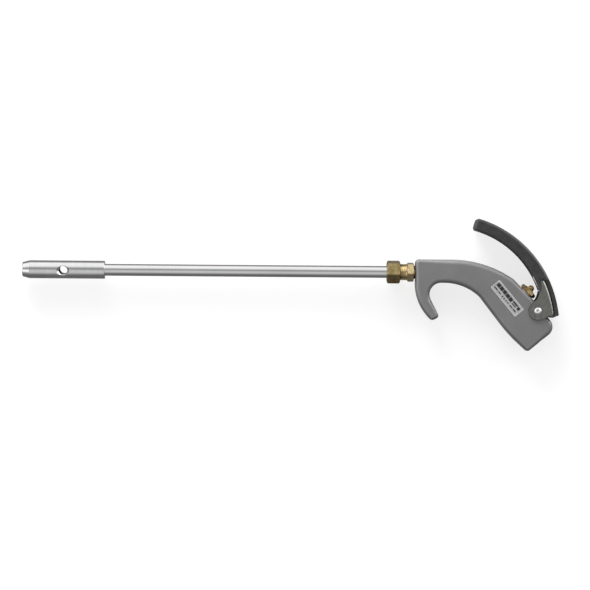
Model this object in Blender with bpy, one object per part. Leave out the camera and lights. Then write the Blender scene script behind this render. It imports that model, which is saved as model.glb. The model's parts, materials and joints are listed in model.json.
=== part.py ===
"""Pistol-grip compressed-air blow gun with a long extension tube and a cross-drilled safety tip.

Sizes are in millimetres until a mesh is written. Shapes are drawn in the gun's own axes: the
barrel axis is X, with the tip towards -X, Z is up, and X = 0 is the front face of the handle.
The empty "gun" carries those axes and stands so that the world origin is the middle of the air
inlet's mouth. Turned pieces are drawn as (radius, height) profiles about their own Z.
"""

import math

import bmesh
import bpy
from mathutils import Vector

MM = 0.001
GAP = 0.3  # between pieces that touch on the real gun

# Handle casting: corners of the side outline, (x, z, radius of the corner, rounding of its edges)
HANDLE_CORNERS = [
    (-0.3, 13.7, 4.0, 3.6),  # top front
    (72.0, 13.7, 115.0, 5.5),  # back of the hand
    (104.2, -6.4, 15.0, 5.5),  # start of the valve's seat face
    (124.5, -27.4, 25.0, 5.0),
    (150.9, -58.4, 11.0, 4.5),  # heel
    (119.7, -84.0, 3.6, 3.2),  # toe of the grip
    (99.4, -65.4, 160.0, 4.5),
    (68.5, -25.4, 25.0, 5.5),
    (51.3, -11.1, 55.0, 5.5),  # finger bow
    (7.3, -11.1, 12.4, 4.5),  # inside of the hook
    (25.9, -47.4, 3.5, 3.0),  # hook tip
    (17.6, -51.6, 3.6, 3.0),
    (-0.3, -32.6, 53.3, 4.5),  # front of the hook
]
HANDLE_THICKNESS = 20.0
HANDLE_EDGE_DEPTH = 4.6  # how far the edges' rounding reaches in from each side
ARC_ERROR = 0.12

HEEL = Vector(HANDLE_CORNERS[4][:2])
TOE = Vector(HANDLE_CORNERS[5][:2])

# Air inlet, a quarter-inch pipe socket in the flat end face between heel and toe
INLET = HEEL + (TOE - HEEL).normalized() * 22.6
INLET_TILT = 90.0 + math.degrees(math.atan2(HEEL.y - TOE.y, HEEL.x - TOE.x))  # from +Z towards +X
INLET_MOUTH_RADIUS = 6.8
INLET_ROOT_RADIUS = 5.7
INLET_DEPTH = 14.0
AIRWAY_RADIUS = 3.4
AIRWAY_END = 46.0  # depth at which the inlet airway breaks into the valve chamber

# Barrel side
PORT_RADIUS = 7.0
PORT_DEPTH = 10.5
OUTLET_RADIUS = 3.2
OUTLET_BEND = 60.0  # where the straight outlet airway turns down to the valve
TUBE_RADIUS = 6.35
TUBE_WALL = 1.25
TUBE_START = 12.3
TUBE_END = 344.6
CONNECTOR_HEX = 19.05
CONNECTOR_THREAD_RADIUS = 8.75
NUT_HEX = 22.2
NUT_START = 16.3
NUT_END = 30.6
TIP_RADIUS = 9.62
TIP_START = 330.9
TIP_END = 418.8
TIP_BORE = 6.3
CROSS_HOLE_RADIUS = 4.9
CROSS_HOLE_SINK = 7.2
CROSS_HOLE_AT = 375.3
TIP_ROLL = 3.0  # the cross hole's near end sits this many degrees low

# Valve, screwed into the face behind the hand; its height 0 is the handle's surface
VALVE = (118.5, -21.2)
VALVE_TILT = 46.0
VALVE_THREAD_RADIUS = 6.6
VALVE_HEX = 15.9
BOSS_RADIUS = 9.7
SPOTFACE_RADIUS = 8.6
SPOTFACE_DEPTH = 0.5
CHAMBER_RADIUS = 6.2
CHAMBER_DEPTH = 31.2
OUTLET_DEPTH = 6.5
STEM_RADIUS = 2.0
BUTTON_RADIUS = 3.2
BUTTON_TOP = 10.3

# Lever, a steel channel on a rivet with a cushion grip over it
PIVOT = (129.9, -40.3)
RIVET_RADIUS = 2.5
LEVER_OUTER_CENTRE = (33.3, -57.5)
LEVER_INNER_CENTRE = (37.4, -51.6)
GRIP_OUTER_RADIUS = 120.0
GRIP_INNER_RADIUS = 99.6
GRIP_HALF_WIDTH = 14.0
GRIP_EDGE_RADIUS = 115.3  # lower stretch: the grip is a plain strip on the channel's back
GRIP_SLOT_HALF_WIDTH = 8.6
ARM_OUTER_RADIUS = 115.0
ARM_INNER_RADIUS = 101.8
ARM_HALF_WIDTH = 12.1
STEEL = 1.6
EAR_RADIUS = 10.0
ARM_FOOT = 6.6  # degrees about the outer centre
ARM_TIP = 73.0
GRIP_FOOT = 6.3
GRIP_TIP = 75.2
GRIP_NOTCH = 25.9  # where the sleeve's sides end and only the strip goes on
PAD_HALF_WIDTH = 8.2
PAD_AXIS = 27.0  # degrees about the outer centre, the pad rivet's direction

# Generic data plate on the side of the grip
PLATE_CENTRE = (97.4, -27.0)
PLATE_TILT = -50.2
PLATE_SIZE = (41.0, 12.5)
PLATE_THICKNESS = 0.5


def material(name, colour, roughness, metallic=0.0):
    made = bpy.data.materials.new(name)
    made.use_nodes = True
    shader = made.node_tree.nodes["Principled BSDF"]
    shader.inputs["Base Color"].default_value = (*colour, 1.0)
    shader.inputs["Roughness"].default_value = roughness
    shader.inputs["Metallic"].default_value = metallic
    return made


def empty(name, x, z, tilt=0.0, parent=None):
    """An empty whose Z axis leans from +Z towards +X by tilt degrees."""
    made = bpy.data.objects.new(name, None)
    made.location = (x * MM, 0.0, z * MM)
    made.rotation_euler = (0.0, math.radians(tilt), 0.0)
    made.parent = parent
    bpy.context.scene.collection.objects.link(made)
    return made


def solid(name, bm, parent, surface):
    """Closes a bmesh drawn in millimetres into an object; without a material it is a cutter."""
    bmesh.ops.scale(bm, vec=(MM, MM, MM), verts=bm.verts)
    bmesh.ops.recalc_face_normals(bm, faces=bm.faces)
    mesh = bpy.data.meshes.new(name)
    bm.to_mesh(mesh)
    bm.free()
    mesh.shade_smooth()
    mesh.set_sharp_from_angle(angle=math.radians(35.0))
    made = bpy.data.objects.new(name, mesh)
    made.parent = parent
    bpy.context.scene.collection.objects.link(made)
    if surface is None:
        made.hide_render = True
        made.display_type = "WIRE"
    else:
        mesh.materials.append(surface)
    return made


def combine(target, other, operation):
    modifier = target.modifiers.new(other.name, "BOOLEAN")
    modifier.operation = operation
    modifier.object = other


def cut(target, *cutters):
    for cutter in cutters:
        combine(target, cutter, "DIFFERENCE")


def arc(centre, radius, start, end):
    """Points (x, z) along an arc from one angle to another, in degrees."""
    step = math.degrees(2 * math.acos(1 - ARC_ERROR / radius))
    count = max(1, math.ceil(abs(end - start) / step))
    angles = [math.radians(start + (end - start) * i / count) for i in range(count + 1)]
    return [(centre[0] + radius * math.cos(a), centre[1] + radius * math.sin(a)) for a in angles]


def rounded(corners, share=0.0):
    """The outline of clockwise corners (x, z, radius, rounding), moved inwards by a share of rounding."""
    points = []
    for i, (x, z, radius, rounding) in enumerate(corners):
        corner = Vector((x, z))
        back = (Vector(corners[i - 1][:2]) - corner).normalized()
        ahead = (Vector(corners[(i + 1) % len(corners)][:2]) - corner).normalized()
        half = back.angle(ahead) / 2
        centre = corner + (back + ahead).normalized() * radius / math.sin(half)
        first = corner + back * radius / math.tan(half) - centre
        start = math.degrees(math.atan2(first.y, first.x))
        side = 1 if back.cross(ahead) < 0 else -1
        step = math.degrees(2 * math.acos(1 - ARC_ERROR / radius))
        sweep = 180 - 2 * math.degrees(half)
        count = max(2, math.ceil(sweep / step))
        kept = radius + side * share * rounding
        for k in range(count + 1):
            angle = math.radians(start + side * sweep * k / count)
            points.append((centre.x + kept * math.cos(angle), centre.y + kept * math.sin(angle)))
    return points


def lofted(name, layers, parent, surface=None):
    """A solid through outlines (x, z) at rising y: layers is [(y, outline), ...]."""
    bm = bmesh.new()
    rings = [[bm.verts.new((x, y, z)) for x, z in outline] for y, outline in layers]
    bm.faces.new(rings[0])
    bm.faces.new(rings[-1])
    for low, high in zip(rings, rings[1:]):
        for i in range(len(low)):
            bm.faces.new((low[i - 1], low[i], high[i], high[i - 1]))
    return solid(name, bm, parent, surface)


def slab(name, outline, half_width, parent, surface=None, about=(0.0, 0.0)):
    """An outline (x, z) given width across Y, drawn relative to the point about."""
    outline = [(x - about[0], z - about[1]) for x, z in outline]
    return lofted(name, [(-half_width, outline), (half_width, outline)], parent, surface)


def turned(name, profile, parent, surface=None, steps=32, ring=True):
    """A profile of (radius, height) turned about Z: a closed ring, or one that ends on the axis."""
    bm = bmesh.new()
    verts = [bm.verts.new((radius, 0.0, height)) for radius, height in profile]
    ends = zip(verts, verts[1:] + verts[:1]) if ring else zip(verts, verts[1:])
    edges = [bm.edges.new(pair) for pair in ends]
    bmesh.ops.spin(
        bm, geom=verts + edges, cent=(0, 0, 0), axis=(0, 0, 1), angle=math.tau, steps=steps
    )
    bmesh.ops.remove_doubles(bm, verts=bm.verts, dist=0.001)
    return solid(name, bm, parent, surface)


def rod(name, radius, low, high, parent, surface=None, steps=32):
    return turned(name, [(0, low), (radius, low), (radius, high), (0, high)], parent, surface, steps, False)


def hexagon(name, across, low, high, parent, surface=None, turn=0.0):
    """A hexagonal prism about Z, across its flats; turn is its first corner's angle."""
    bm = bmesh.new()
    corner = across / math.sqrt(3)
    angles = [math.radians(turn + 60 * i) for i in range(6)]
    rings = [[bm.verts.new((corner * math.cos(a), corner * math.sin(a), h)) for a in angles] for h in (low, high)]
    bm.faces.new(rings[0])
    bm.faces.new(rings[1])
    for i in range(6):
        bm.faces.new((rings[0][i - 1], rings[0][i], rings[1][i], rings[1][i - 1]))
    return solid(name, bm, parent, surface)


def seal(name, radius, section, height, parent, surface):
    """A rubber ring about Z."""
    angles = [math.tau * i / 10 for i in range(10)]
    profile = [(radius + section * math.cos(a), height + section * math.sin(a)) for a in angles]
    return turned(name, profile, parent, surface, 24)


def build_handle(gun, barrel, valve, inlet, surface):
    """The cast handle with its inlet, airways, valve chamber, pivot hole and plate recess."""
    half = HANDLE_THICKNESS / 2
    layers = []
    for angle in (90, 68, 45, 22, 0):
        share = 1 - math.cos(math.radians(angle))
        depth = half - HANDLE_EDGE_DEPTH * (1 - math.sin(math.radians(angle)))
        layers.append((depth, rounded(HANDLE_CORNERS, share)))
    near = [(-depth, outline) for depth, outline in layers]
    casting = lofted("handle_casting", near + layers[::-1], gun, surface)
    combine(casting, rod("valve_boss", BOSS_RADIUS, -9.0, -0.3, valve), "UNION")
    cut(
        casting,
        turned(
            "inlet_socket",
            [
                (0, -INLET_DEPTH),
                (INLET_ROOT_RADIUS, -INLET_DEPTH),
                (INLET_MOUTH_RADIUS, 0),
                (INLET_MOUTH_RADIUS, 2),
                (0, 2),
            ],
            inlet,
            ring=False,
        ),
        rod("inlet_airway", AIRWAY_RADIUS, -AIRWAY_END, -INLET_DEPTH + 1, inlet, steps=20),
        turned(
            "valve_chamber",
            [
                (0, -CHAMBER_DEPTH),
                (CHAMBER_RADIUS, -CHAMBER_DEPTH),
                (CHAMBER_RADIUS, -13.4),
                (VALVE_THREAD_RADIUS + GAP, -13.0),
                (VALVE_THREAD_RADIUS + GAP, -SPOTFACE_DEPTH),
                (SPOTFACE_RADIUS, -SPOTFACE_DEPTH),
                (SPOTFACE_RADIUS, 3),
                (0, 3),
            ],
            valve,
            ring=False,
        ),
        rod("barrel_port", PORT_RADIUS, -PORT_DEPTH, 2, barrel),
        rod("outlet_airway", OUTLET_RADIUS, -OUTLET_BEND, -PORT_DEPTH + 1, barrel, steps=20),
        outlet_slant(gun),
        pivot_bore("handle_pivot_bore", gun, PIVOT, HANDLE_THICKNESS),
        plate_shape("plate_recess", gun, GAP, HANDLE_THICKNESS / 2 - PLATE_THICKNESS - GAP, HANDLE_THICKNESS / 2 + 1),
    )
    return casting


def outlet_slant(gun):
    """The airway from the bend below the back of the hand down to the valve."""
    lean = math.radians(VALVE_TILT)
    end_x = VALVE[0] - OUTLET_DEPTH * math.sin(lean)
    end_z = VALVE[1] - OUTLET_DEPTH * math.cos(lean)
    start_x = OUTLET_BEND - OUTLET_RADIUS
    length = math.hypot(end_x - start_x, end_z)
    tilt = math.degrees(math.atan2(end_x - start_x, end_z))
    axis = empty("outlet_slant_axis", start_x, 0.0, tilt, gun)
    return rod("outlet_slant", OUTLET_RADIUS - 0.2, -0.6, length - 2, axis, steps=20)


def pivot_bore(name, parent, centre, length):
    """A hole across Y for the pivot rivet."""
    outline = arc(centre, RIVET_RADIUS + GAP, 0, 345)
    return slab(name, outline, length, parent)


def plate_shape(name, gun, margin, near, far, surface=None):
    """The data plate's rectangle with round corners, between two depths on the -Y side."""
    half_long = PLATE_SIZE[0] / 2 + margin
    half_short = PLATE_SIZE[1] / 2 + margin
    tilt = math.radians(PLATE_TILT)
    along = Vector((math.cos(tilt), math.sin(tilt)))
    across = Vector((-along.y, along.x))
    signs = [(-1, 1), (1, 1), (1, -1), (-1, -1)]
    places = [Vector(PLATE_CENTRE) + along * half_long * a + across * half_short * b for a, b in signs]
    outline = rounded([(p.x, p.y, 1.2 + margin, 0.0) for p in places])
    return lofted(name, [(-far, outline), (-near, outline)], gun, surface)


def build_plate(gun, surface):
    outside = HANDLE_THICKNESS / 2
    plate_shape("data_plate", gun, 0.0, outside - PLATE_THICKNESS, outside, surface)


def build_connector(barrel, brass):
    """Brass connector: pipe thread in the handle, hexagon, and the thread that takes the nut."""
    body = hexagon("connector_body", CONNECTOR_HEX, 1.8, 8.8, barrel, brass, turn=18)
    outside = rod("connector_turning", CONNECTOR_THREAD_RADIUS, 5.0, 25.5, barrel)
    neck = turned("connector_neck", [(0, -9.5), (6.4, -9.5), (6.7, 5.2), (0, 5.2)], barrel, ring=False)
    combine(body, outside, "UNION")
    combine(body, neck, "UNION")
    cut(
        body,
        turned(
            "connector_bore",
            [
                (0, -12),
                (4.6, -12),
                (4.6, TUBE_START - GAP),
                (TUBE_RADIUS + GAP, TUBE_START - GAP),
                (TUBE_RADIUS + GAP, 23.5),
                (8.0, 26.5),
                (0, 26.5),
            ],
            barrel,
            ring=False,
        ),
    )


def build_compression_nut(barrel, brass):
    nut = hexagon("compression_nut", NUT_HEX, NUT_START, NUT_END, barrel, brass, turn=18)
    cut(
        nut,
        turned(
            "nut_bore",
            [
                (0, NUT_START - 1),
                (CONNECTOR_THREAD_RADIUS + GAP, NUT_START - 1),
                (CONNECTOR_THREAD_RADIUS + GAP, 26.0),
                (8.6, 26.5),
                (TUBE_RADIUS + GAP, 29.4),
                (TUBE_RADIUS + GAP, NUT_END + 1),
                (0, NUT_END + 1),
            ],
            barrel,
            ring=False,
        ),
    )
    inner = TUBE_RADIUS + 0.27
    turned("compression_ferrule", [(inner, 25.9), (7.6, 25.9), (7.8, 27.0), (6.95, 28.6), (inner, 28.6)], barrel, brass)


def build_tube(barrel, steel):
    inner = TUBE_RADIUS - TUBE_WALL
    turned(
        "extension_tube",
        [(inner, TUBE_START), (TUBE_RADIUS, TUBE_START), (TUBE_RADIUS, TUBE_END), (inner, TUBE_END)],
        barrel,
        steel,
    )


def build_tip(gun, barrel, steel, brass):
    """Safety tip: sleeve over the tube, jet behind the cross hole, and a wide mouth."""
    tip = turned(
        "nozzle_tip",
        [
            (TUBE_RADIUS + GAP, TIP_START),
            (TIP_RADIUS - 0.5, TIP_START),
            (TIP_RADIUS, TIP_START + 0.5),
            (TIP_RADIUS, TIP_END - 7.5),
            (7.9, TIP_END - 0.6),
            (7.3, TIP_END),
            (TIP_BORE + 0.4, TIP_END),
            (TIP_BORE, TIP_END - 0.5),
            (TIP_BORE, 353.0),
            (4.3, 352.4),
            (4.3, 345.0),
            (TUBE_RADIUS + GAP, 345.0),
        ],
        barrel,
        steel,
        steps=40,
    )
    across = empty("cross_hole_axis", -CROSS_HOLE_AT, 0.0, 0.0, gun)
    across.rotation_euler = (math.radians(90 + TIP_ROLL), 0.0, 0.0)
    sink = CROSS_HOLE_SINK - CROSS_HOLE_RADIUS
    flare = CROSS_HOLE_SINK + 2
    cut(
        tip,
        turned(
            "cross_hole",
            [
                (0, -TIP_RADIUS - 2),
                (flare, -TIP_RADIUS - 2),
                (CROSS_HOLE_RADIUS, -TIP_RADIUS + sink),
                (CROSS_HOLE_RADIUS, TIP_RADIUS - sink),
                (flare, TIP_RADIUS + 2),
                (0, TIP_RADIUS + 2),
            ],
            across,
            ring=False,
            steps=28,
        ),
    )
    turned("nozzle_jet", [(1.0, 345.3), (4.0, 345.3), (4.0, 352.0), (1.6, 352.0), (1.0, 350.0)], barrel, brass, 24)


def build_bonnet(valve, brass, rubber, fibre):
    """The valve's housing with the washer, seals and gland nut that close it."""
    bonnet = hexagon("valve_bonnet", VALVE_HEX, 0.6, 4.9, valve, brass, turn=8)
    barrel_turning = turned(
        "bonnet_turning",
        [
            (0, -13.0),
            (5.9, -13.0),
            (VALVE_THREAD_RADIUS, -12.4),
            (VALVE_THREAD_RADIUS, -12.1),
            (5.25, -12.1),
            (5.25, -10.6),
            (VALVE_THREAD_RADIUS, -10.6),
            (VALVE_THREAD_RADIUS, -9.6),
            (5.4, -9.0),
            (5.4, -4.2),
            (VALVE_THREAD_RADIUS, -3.6),
            (VALVE_THREAD_RADIUS, 2.5),
            (0, 2.5),
        ],
        valve,
        ring=False,
    )
    combine(bonnet, barrel_turning, "UNION")
    bore = turned(
        "bonnet_bore",
        [
            (0, -14),
            (4.3, -14),
            (4.3, -3.6),
            (STEM_RADIUS + GAP, -3.0),
            (STEM_RADIUS + GAP, -1.5),
            (4.6, -1.5),
            (4.6, 6),
            (0, 6),
        ],
        valve,
        ring=False,
    )
    cut(bonnet, bore)
    for turn in (0, 90):
        across = empty(f"bonnet_port_axis_{turn}", 0.0, -OUTLET_DEPTH, 90.0, valve)
        across.rotation_euler.z = math.radians(turn)
        across.rotation_mode = "XYZ"
        cut(bonnet, rod(f"bonnet_port_{turn}", 1.5, -8, 8, across, steps=12))
    turned("bonnet_washer", [(6.95, -0.3), (7.85, -0.3), (7.85, 0.3), (6.95, 0.3)], valve, fibre)
    seal("bonnet_seal", 6.15, 0.6, -11.35, valve, rubber)
    seal("stem_packing", 3.3, 0.85, -0.4, valve, rubber)
    turned(
        "gland_nut",
        [(3.5, 0.8), (4.3, 0.8), (4.3, 5.2), (4.9, 5.2), (4.9, 5.6), (4.6, 5.8), (3.5, 5.8)],
        valve,
        brass,
        28,
    )


def build_stem(stem, brass, steel, rubber):
    """The sliding group: button, stem, and the poppet that closes on the bonnet's lower lip."""
    turned(
        "valve_stem",
        [(0, -20.6), (1.5, -20.6), (1.5, -13.2), (STEM_RADIUS, -13.2), (STEM_RADIUS, 5.0), (1.5, 5.0), (1.5, 7.6), (0, 7.6)],
        stem,
        steel,
        20,
        False,
    )
    bulge = [math.radians(a) for a in (-20, 0, 22, 45, 68)]
    centre = BUTTON_TOP - BUTTON_RADIUS
    dome = [(BUTTON_RADIUS * math.cos(a), centre + BUTTON_RADIUS * math.sin(a)) for a in bulge]
    turned(
        "stem_button",
        [(0, 7.9), (1.8, 7.9), (1.8, 5.4), (2.9, 5.4)] + dome + [(0, BUTTON_TOP)],
        stem,
        brass,
        28,
        False,
    )
    turned("poppet_seal", [(1.8, -14.6), (4.9, -14.6), (4.9, -13.5), (1.8, -13.5)], stem, rubber, 28)
    turned(
        "poppet_cup",
        [(1.8, -17.3), (4.9, -17.3), (5.6, -16.9), (5.6, -14.0), (5.2, -14.0), (5.2, -14.9), (1.8, -14.9)],
        stem,
        brass,
        28,
    )
    nut = hexagon("poppet_nut", 6.0, -20.0, -17.6, stem, steel)
    cut(nut, rod("poppet_nut_bore", 1.5 + GAP, -21, -17, stem, steps=16))


def build_spring(valve, steel):
    """Coil spring that closes the valve: closed end turns and open turns between them."""
    wire = 0.45
    radius = 4.6
    bottom = -CHAMBER_DEPTH + GAP + wire
    top = -17.3 - GAP - wire
    turns = 6
    per_turn = 14
    end_pitch = 1.2
    points = []
    for i in range(turns * per_turn + 1):
        t = i / per_turn
        share = min(max((t - 1) / (turns - 2), 0), 1)
        ends = min(t, 1) + max(t - (turns - 1), 0)
        height = bottom + end_pitch * ends + (top - bottom - 2 * end_pitch) * share
        points.append((radius * math.cos(math.tau * t), radius * math.sin(math.tau * t), height))
    curve = bpy.data.curves.new("valve_spring", "CURVE")
    curve.dimensions = "3D"
    curve.bevel_depth = wire * MM
    curve.bevel_resolution = 1
    curve.use_fill_caps = True
    spline = curve.splines.new("POLY")
    spline.points.add(len(points) - 1)
    for point, (x, y, z) in zip(spline.points, points):
        point.co = (x * MM, y * MM, z * MM, 1.0)
    spring = bpy.data.objects.new("valve_spring", curve)
    spring.parent = valve
    curve.materials.append(steel)
    bpy.context.scene.collection.objects.link(spring)


def build_rivet(gun, steel):
    """Pivot rivet across Y: domed head on the near side, rolled tail on the far side."""
    axis = empty("rivet_axis", PIVOT[0], PIVOT[1], 0.0, gun)
    axis.rotation_euler = (math.radians(90), 0.0, 0.0)
    face = ARM_HALF_WIDTH + GAP
    turned(
        "pivot_rivet",
        [
            (0, -face - 1.0),
            (1.2, -face - 1.2),
            (3.0, -face - 0.9),
            (3.6, -face),
            (RIVET_RADIUS, -face),
            (RIVET_RADIUS, face),
            (3.8, face),
            (3.5, face + 0.7),
            (2.2, face + 1.3),
            (0, face + 1.5),
        ],
        axis,
        steel,
        28,
        False,
    )


def ear_outline():
    """The lever's steel seen from the side: curved arm above, rounded ear at the pivot."""
    foot = arc(LEVER_OUTER_CENTRE, ARM_OUTER_RADIUS, ARM_FOOT, ARM_TIP)
    inner = arc(LEVER_INNER_CENTRE, ARM_INNER_RADIUS, ARM_TIP - 0.5, 19.0)
    throat = [(131.6, -19.4), (131.4, -21.5), (128.9, -27.6)]
    lobe = arc(PIVOT, EAR_RADIUS, 132.0, 292.0)
    heel = [(137.5, -47.7), (140.9, -46.2), (141.5, -44.6), (145.4, -45.5)]
    return foot + inner + throat + lobe + heel


def pad_rivet_axis(lever):
    """Runs along +Z from the channel's outer face towards the middle of its curve."""
    angle = math.radians(PAD_AXIS)
    x = LEVER_OUTER_CENTRE[0] + ARM_OUTER_RADIUS * math.cos(angle) - PIVOT[0]
    z = LEVER_OUTER_CENTRE[1] + ARM_OUTER_RADIUS * math.sin(angle) - PIVOT[1]
    return empty("pad_rivet_axis", x, z, 270.0 - PAD_AXIS, lever)


def build_lever(lever, steel, cushion, nylon):
    arm = slab("lever_arm", ear_outline(), ARM_HALF_WIDTH, lever, steel, PIVOT)
    web = arc(LEVER_OUTER_CENTRE, ARM_OUTER_RADIUS - STEEL, -20, 90)
    hollow = web + [(30.0, 20.0), (80.0, -70.0)]
    rivet_axis = pad_rivet_axis(lever)
    countersink = [(0, -1), (2.7 + GAP, -1), (2.4 + GAP, GAP), (1.5 + GAP, 1.2), (1.5 + GAP, 3), (0, 3)]
    cut(
        arm,
        slab("channel_hollow", hollow, ARM_HALF_WIDTH - STEEL, lever, None, PIVOT),
        pivot_bore("arm_pivot_bore", lever, (0.0, 0.0), 2 * ARM_HALF_WIDTH),
        turned("pad_countersink", countersink, rivet_axis, ring=False, steps=20),
    )
    build_grip(lever, cushion)
    build_pad(lever, rivet_axis, nylon, steel)


def build_grip(lever, cushion):
    """Moulded cushion: a sleeve round the arm, and below its notch a strip with a lip at the foot."""
    tongue_end = 19.6
    tongue = [(132.9, -18.4), (133.3, -12.5), (133.0, -8.5), (134.0, -6.5)]
    lip = [(145.65, -45.9), (141.85, -45.0), (141.3, -46.4), (145.5, -47.5)]
    outline = (
        arc(LEVER_OUTER_CENTRE, GRIP_OUTER_RADIUS, GRIP_FOOT, GRIP_TIP)
        + arc(LEVER_INNER_CENTRE, GRIP_INNER_RADIUS, GRIP_TIP + 0.6, tongue_end)
        + tongue
        + arc(LEVER_OUTER_CENTRE, GRIP_EDGE_RADIUS, GRIP_NOTCH, ARM_FOOT - 0.1)
        + lip
    )
    grip = slab("lever_grip", outline, GRIP_HALF_WIDTH, lever, cushion, PIVOT)
    pocket = arc(LEVER_OUTER_CENTRE, ARM_OUTER_RADIUS + 0.5, GRIP_NOTCH - 1, ARM_TIP + 0.3)
    pocket += arc(LEVER_INNER_CENTRE, ARM_INNER_RADIUS - GAP, ARM_TIP, tongue_end - 1)
    slot = (
        arc(LEVER_OUTER_CENTRE, ARM_OUTER_RADIUS - 3, GRIP_NOTCH - 1, ARM_TIP - 2)
        + arc(LEVER_INNER_CENTRE, GRIP_INNER_RADIUS - 4, ARM_TIP - 2, tongue_end - 1)
        + [(136.0, -24.0)]
    )
    cut(
        grip,
        slab("grip_pocket", pocket, ARM_HALF_WIDTH + GAP, lever, None, PIVOT),
        slab("grip_slot", slot, GRIP_SLOT_HALF_WIDTH, lever, None, PIVOT),
    )


def build_pad(lever, rivet_axis, nylon, steel):
    """The block inside the channel whose flat face meets the valve's button."""
    back = arc(LEVER_OUTER_CENTRE, ARM_OUTER_RADIUS - STEEL - GAP, 20.5, 34.0)
    face = [(126.0, -4.8), (133.2, -18.4)]
    pad = slab("thrust_pad", back + face, PAD_HALF_WIDTH, lever, nylon, PIVOT)
    cut(pad, rod("pad_hole", 1.5 + GAP, -1, 7.2, rivet_axis, steps=16))
    profile = [(0, 0.1), (2.4, 0.1), (1.5, 1.2), (1.5, 6.8), (0, 6.8)]
    turned("pad_rivet", profile, rivet_axis, steel, 16, False)


def main():
    for item in list(bpy.data.objects):
        bpy.data.objects.remove(item)
    paint = material("grey_paint", (0.18, 0.18, 0.18), 0.5)
    tube_steel = material("satin_steel", (0.62, 0.62, 0.63), 0.28, 1.0)
    ear_steel = material("plated_steel", (0.27, 0.27, 0.25), 0.45, 0.8)
    rivet_steel = material("bright_steel", (0.6, 0.6, 0.6), 0.3, 1.0)
    brass = material("brass", (0.62, 0.45, 0.18), 0.32, 1.0)
    cushion = material("black_vinyl", (0.035, 0.035, 0.036), 0.55)
    rubber = material("black_rubber", (0.02, 0.02, 0.02), 0.7)
    fibre = material("fibre", (0.3, 0.1, 0.06), 0.8)
    nylon = material("nylon", (0.7, 0.68, 0.6), 0.5)
    label = material("label", (0.35, 0.35, 0.35), 0.5)
    gun = empty("gun", -INLET[0], -INLET[1])
    inlet = empty("inlet_axis", INLET[0], INLET[1], INLET_TILT, gun)
    barrel = empty("barrel_axis", 0.0, 0.0, -90.0, gun)
    valve = empty("valve_axis", VALVE[0], VALVE[1], VALVE_TILT, gun)
    stem = empty("stem_slide", 0.0, 0.0, 0.0, valve)
    lever = empty("lever_pivot", PIVOT[0], PIVOT[1], 0.0, gun)
    build_handle(gun, barrel, valve, inlet, paint)
    build_plate(gun, label)
    build_connector(barrel, brass)
    build_compression_nut(barrel, brass)
    build_tube(barrel, tube_steel)
    build_tip(gun, barrel, tube_steel, brass)
    build_bonnet(valve, brass, rubber, fibre)
    build_stem(stem, brass, rivet_steel, rubber)
    build_spring(valve, rivet_steel)
    build_rivet(gun, rivet_steel)
    build_lever(lever, ear_steel, cushion, nylon)


main()
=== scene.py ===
import json
import math

import bmesh
import bpy
from mathutils import Matrix, Vector


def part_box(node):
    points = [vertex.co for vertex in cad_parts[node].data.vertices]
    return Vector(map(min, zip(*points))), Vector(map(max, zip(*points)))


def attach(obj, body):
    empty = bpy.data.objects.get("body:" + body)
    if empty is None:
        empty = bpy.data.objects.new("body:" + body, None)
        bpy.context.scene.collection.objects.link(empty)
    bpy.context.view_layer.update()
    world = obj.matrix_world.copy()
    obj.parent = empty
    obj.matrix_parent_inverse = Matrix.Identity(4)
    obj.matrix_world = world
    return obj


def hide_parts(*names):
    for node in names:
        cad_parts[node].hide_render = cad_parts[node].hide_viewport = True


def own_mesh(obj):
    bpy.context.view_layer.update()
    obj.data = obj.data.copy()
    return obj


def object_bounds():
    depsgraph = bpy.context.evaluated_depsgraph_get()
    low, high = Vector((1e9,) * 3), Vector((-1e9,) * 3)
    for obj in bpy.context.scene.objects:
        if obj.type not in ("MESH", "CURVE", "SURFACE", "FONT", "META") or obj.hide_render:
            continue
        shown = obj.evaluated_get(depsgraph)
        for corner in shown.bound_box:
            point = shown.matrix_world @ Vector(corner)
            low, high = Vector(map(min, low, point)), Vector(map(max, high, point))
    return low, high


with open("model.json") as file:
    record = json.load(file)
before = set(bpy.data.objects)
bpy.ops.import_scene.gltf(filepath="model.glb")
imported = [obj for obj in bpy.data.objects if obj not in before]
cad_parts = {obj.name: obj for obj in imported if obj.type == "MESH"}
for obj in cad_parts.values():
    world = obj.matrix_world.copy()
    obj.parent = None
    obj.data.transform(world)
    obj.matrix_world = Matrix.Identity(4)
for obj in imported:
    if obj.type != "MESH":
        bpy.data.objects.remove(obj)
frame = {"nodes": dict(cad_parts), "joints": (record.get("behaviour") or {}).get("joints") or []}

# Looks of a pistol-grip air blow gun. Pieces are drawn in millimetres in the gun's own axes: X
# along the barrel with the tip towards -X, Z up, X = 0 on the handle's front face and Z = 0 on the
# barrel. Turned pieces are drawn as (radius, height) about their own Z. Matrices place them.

CAD_BOX = [list(corner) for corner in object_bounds()]
MM = 0.001
FINE = 0.02  # how far an arc's chords may leave the arc

# The gun's axes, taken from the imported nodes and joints
JOINTS = {joint["name"]: joint for joint in frame["joints"]}
FRONT_INSET = 0.3  # the handle's front face lies this far outside X = 0
GUN = Vector(
    (
        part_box("handle_casting")[0].x + FRONT_INSET * MM,
        0.0,
        (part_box("extension_tube")[0].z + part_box("extension_tube")[1].z) / 2,
    )
)
PIVOT = (Vector(JOINTS["lever_squeeze"]["pos_m"]) - GUN) / MM
STEM_AXIS = -Vector(JOINTS["stem_stroke"]["axis"]).normalized()
VALVE_TILT = math.degrees(math.atan2(STEM_AXIS.x, STEM_AXIS.z))
VALVE = (118.5, -21.2)

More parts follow.
